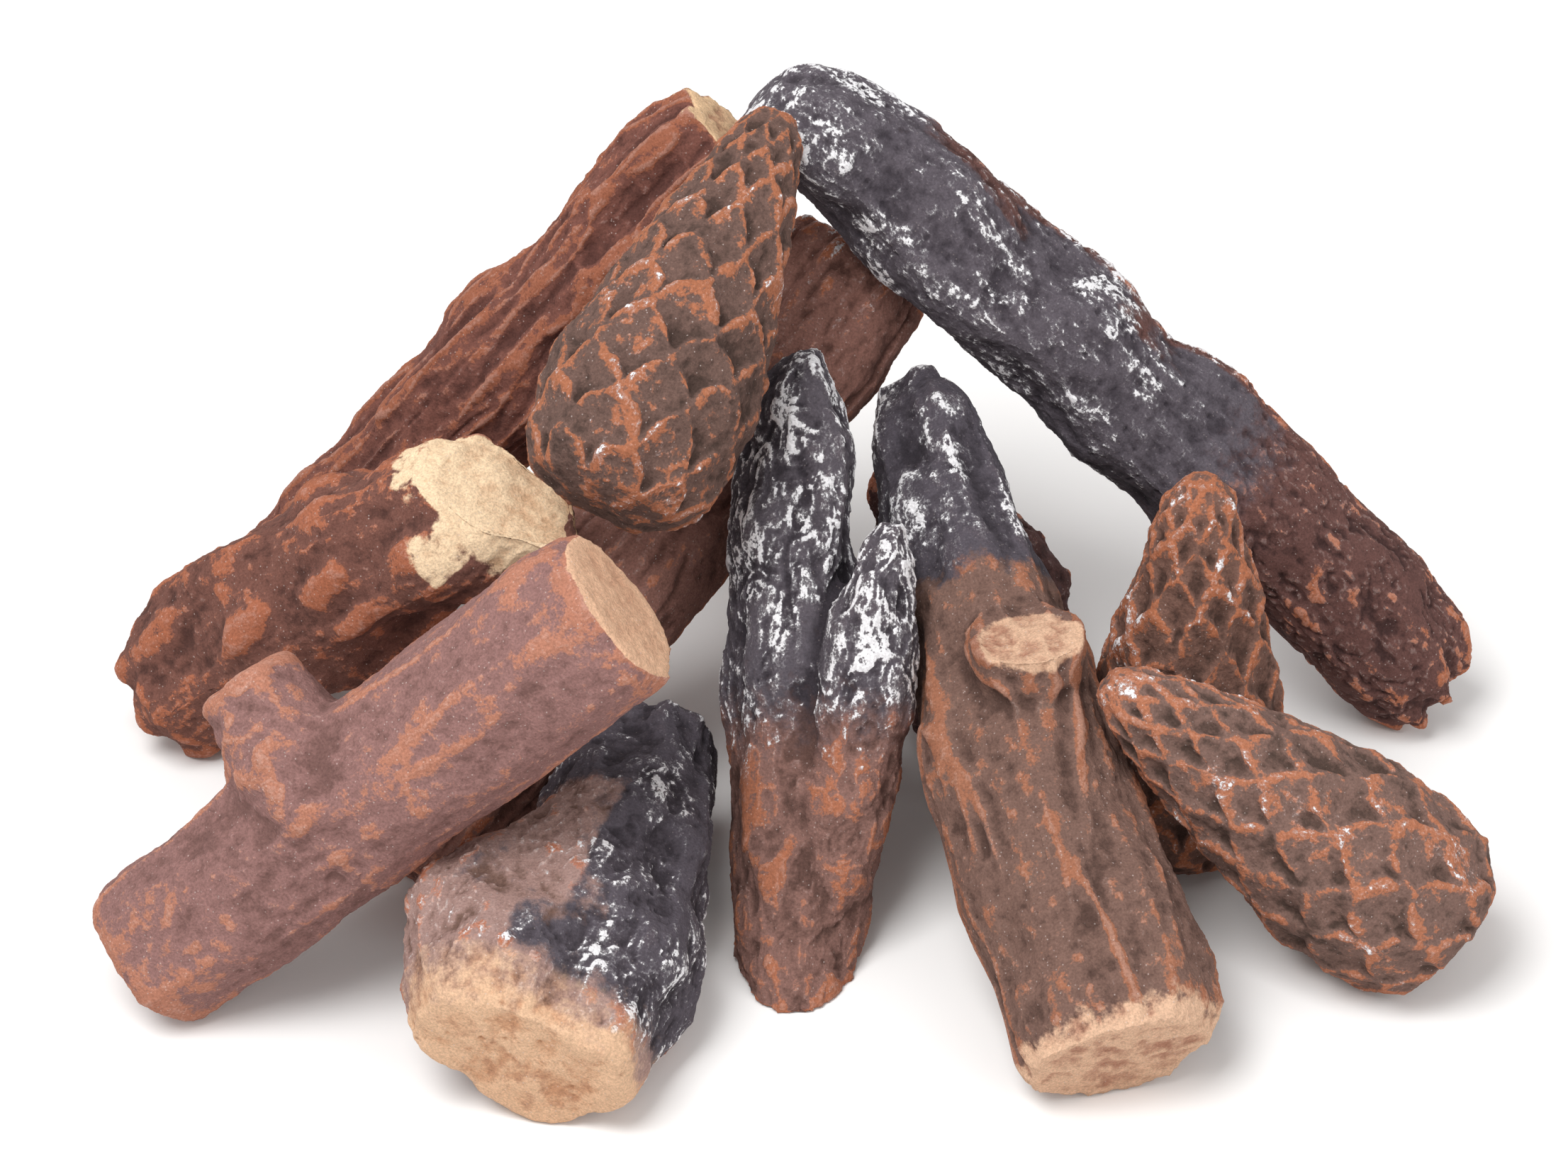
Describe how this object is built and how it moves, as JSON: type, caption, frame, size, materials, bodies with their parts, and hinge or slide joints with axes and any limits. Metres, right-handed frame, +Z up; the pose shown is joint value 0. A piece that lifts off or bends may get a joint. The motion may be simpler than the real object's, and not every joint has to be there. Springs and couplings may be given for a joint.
{
  "type": "gas log set",
  "caption": "Pile of cast ceramic logs and pine cones, leaning together like a small campfire, that hides a gas burner and glows over it.",
  "frame": {"origin": "middle of the footprint of the pile, on the hearth", "axes": "+X to the right of someone who faces the front of the pile, +Y to the back, +Z up"},
  "size_m": [0.4752, 0.2958, 0.2363],
  "materials": {
    "rear_right_log": "painted fired ceramic",
    "rear_left_log": "painted fired ceramic",
    "rear_centre_log": "painted fired ceramic",
    "knotted_log": "painted fired ceramic",
    "short_log": "painted fired ceramic",
    "split_log": "painted fired ceramic",
    "left_log": "painted fired ceramic",
    "branched_log": "painted fired ceramic",
    "forked_log": "painted fired ceramic",
    "top_pine_cone": "painted fired ceramic",
    "right_pine_cone": "painted fired ceramic",
    "front_pine_cone": "painted fired ceramic"
  },
  "bodies": {
    "pile": {"rear_right_log": "rear_right_log", "rear_left_log": "rear_left_log", "rear_centre_log": "rear_centre_log", "knotted_log": "knotted_log", "short_log": "short_log", "split_log": "split_log"},
    "left_log": {"left_log": "left_log"},
    "branched_log": {"branched_log": "branched_log"},
    "forked_log": {"forked_log": "forked_log"},
    "top_pine_cone": {"top_pine_cone": "top_pine_cone"},
    "right_pine_cone": {"right_pine_cone": "right_pine_cone"},
    "front_pine_cone": {"front_pine_cone": "front_pine_cone"}
  },
  "joints": [
    {"name": "left_log_lift", "type": "slide", "parent": "pile", "child": "left_log", "axis": [-0.6429, 0, 0.7659], "range_m": [0, 0.08]},
    {"name": "branched_log_lift", "type": "slide", "parent": "pile", "child": "branched_log", "axis": [-0.579, -0.579, 0.574], "range_m": [0, 0.08]},
    {"name": "forked_log_lift", "type": "slide", "parent": "pile", "child": "forked_log", "axis": [0.0341, -0.9776, 0.2079], "range_m": [0, 0.08]},
    {"name": "top_pine_cone_lift", "type": "slide", "parent": "pile", "child": "top_pine_cone", "axis": [-0.129, -0.483, 0.866], "range_m": [0, 0.08]},
    {"name": "right_pine_cone_lift", "type": "slide", "parent": "pile", "child": "right_pine_cone", "axis": [0.0885, 0.3304, 0.9397], "range_m": [0, 0.06]},
    {"name": "front_pine_cone_lift", "type": "slide", "parent": "pile", "child": "front_pine_cone", "axis": [0.75, -0.433, 0.5], "range_m": [0, 0.08]}
  ]
}
